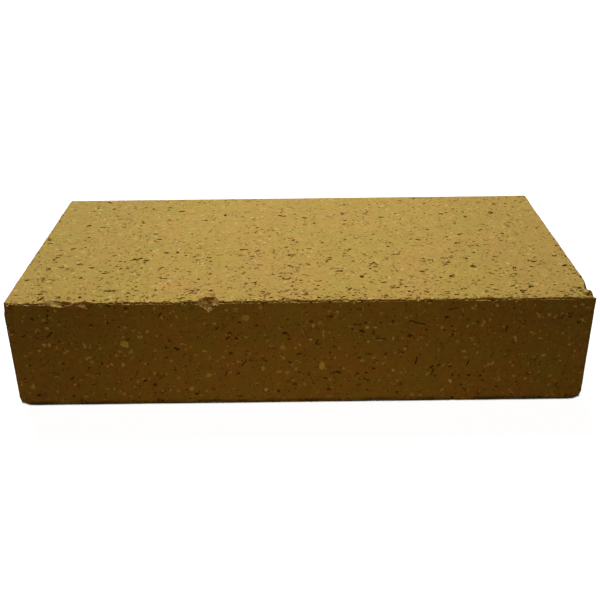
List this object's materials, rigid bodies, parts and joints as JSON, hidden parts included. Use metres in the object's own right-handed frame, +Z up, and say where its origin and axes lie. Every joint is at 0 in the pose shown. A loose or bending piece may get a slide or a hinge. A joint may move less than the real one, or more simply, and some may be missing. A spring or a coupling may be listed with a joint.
{
  "type": "soldering brick",
  "caption": "Plain rectangular block of dense fired refractory clay with flat faces and chipped edges, a heat-proof rest for soldering and brazing.",
  "frame": {"origin": "middle of the bed face, at the level the brick rests on", "axes": "+X along the length, -Y towards the front face, +Z up through the thickness"},
  "size_m": [0.2286, 0.1142, 0.046],
  "materials": {
    "fired_clay": "matt, open-textured buff fired clay with pits and pale grog grains"
  },
  "bodies": {
    "root": {"brick": "fired_clay"}
  },
  "joints": []
}
